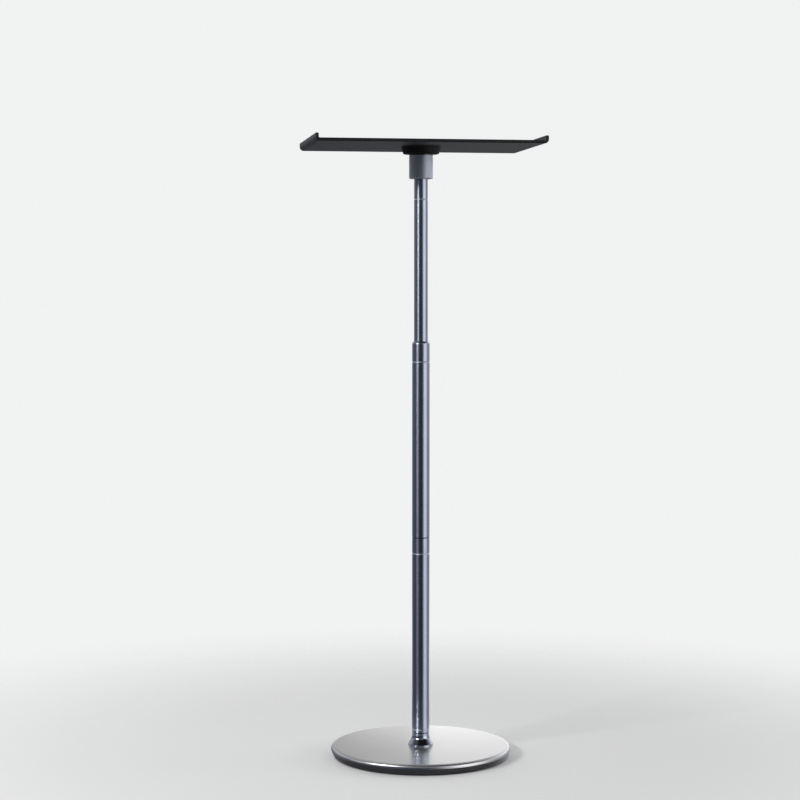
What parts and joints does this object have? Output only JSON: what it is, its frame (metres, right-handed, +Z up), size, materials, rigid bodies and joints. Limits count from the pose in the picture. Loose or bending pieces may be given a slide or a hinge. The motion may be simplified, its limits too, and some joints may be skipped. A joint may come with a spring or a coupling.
{
  "type": "portable projector stand",
  "caption": "Floor stand for a projector: a round weighted base, a telescoping tube pole, and a flat black tray with turned-up sides that swivels on the pole's head.",
  "frame": {"origin": "on the floor, under the pole's axis, at the bottom of the rubber feet", "axes": "+Z up along the pole; +X along the tray's long side, to the right as seen from the front; a projector on the tray faces -Y"},
  "size_m": [0.365, 0.29, 0.9937],
  "materials": {
    "base_metal": "satin silver",
    "weight_paint": "matte black paint",
    "foot_rubber": "matte",
    "bolt_steel": "zinc plated",
    "pole_metal": "satin blue-grey anodised",
    "nylon": "matte",
    "tray_black": "fine matte black coat"
  },
  "bodies": {
    "stand": {"base_cover": "base_metal", "base_weight": "weight_paint", "rubber_foot_1": "foot_rubber", "rubber_foot_2": "foot_rubber", "rubber_foot_3": "foot_rubber", "rubber_foot_4": "foot_rubber", "rubber_foot_5": "foot_rubber", "rubber_foot_6": "foot_rubber", "fixing_bolt": "bolt_steel", "pole_socket": "pole_metal", "lower_tube": "pole_metal", "tube_coupling": "pole_metal", "middle_tube": "pole_metal", "guide_bush": "nylon"},
    "mast": {"upper_tube": "pole_metal", "lock_plug": "nylon", "collar": "pole_metal", "swivel_washer": "nylon"},
    "head": {"tray_hub": "tray_black", "tray": "tray_black"}
  },
  "joints": [
    {"name": "height_slide", "type": "slide", "parent": "stand", "child": "mast", "axis": [0, 0, 1], "range_m": [-0.235, 0]},
    {"name": "tray_swivel", "type": "hinge", "parent": "mast", "child": "head", "pos_m": [0, 0, 0.9702], "axis": [0, 0, 1], "continuous": true}
  ]
}
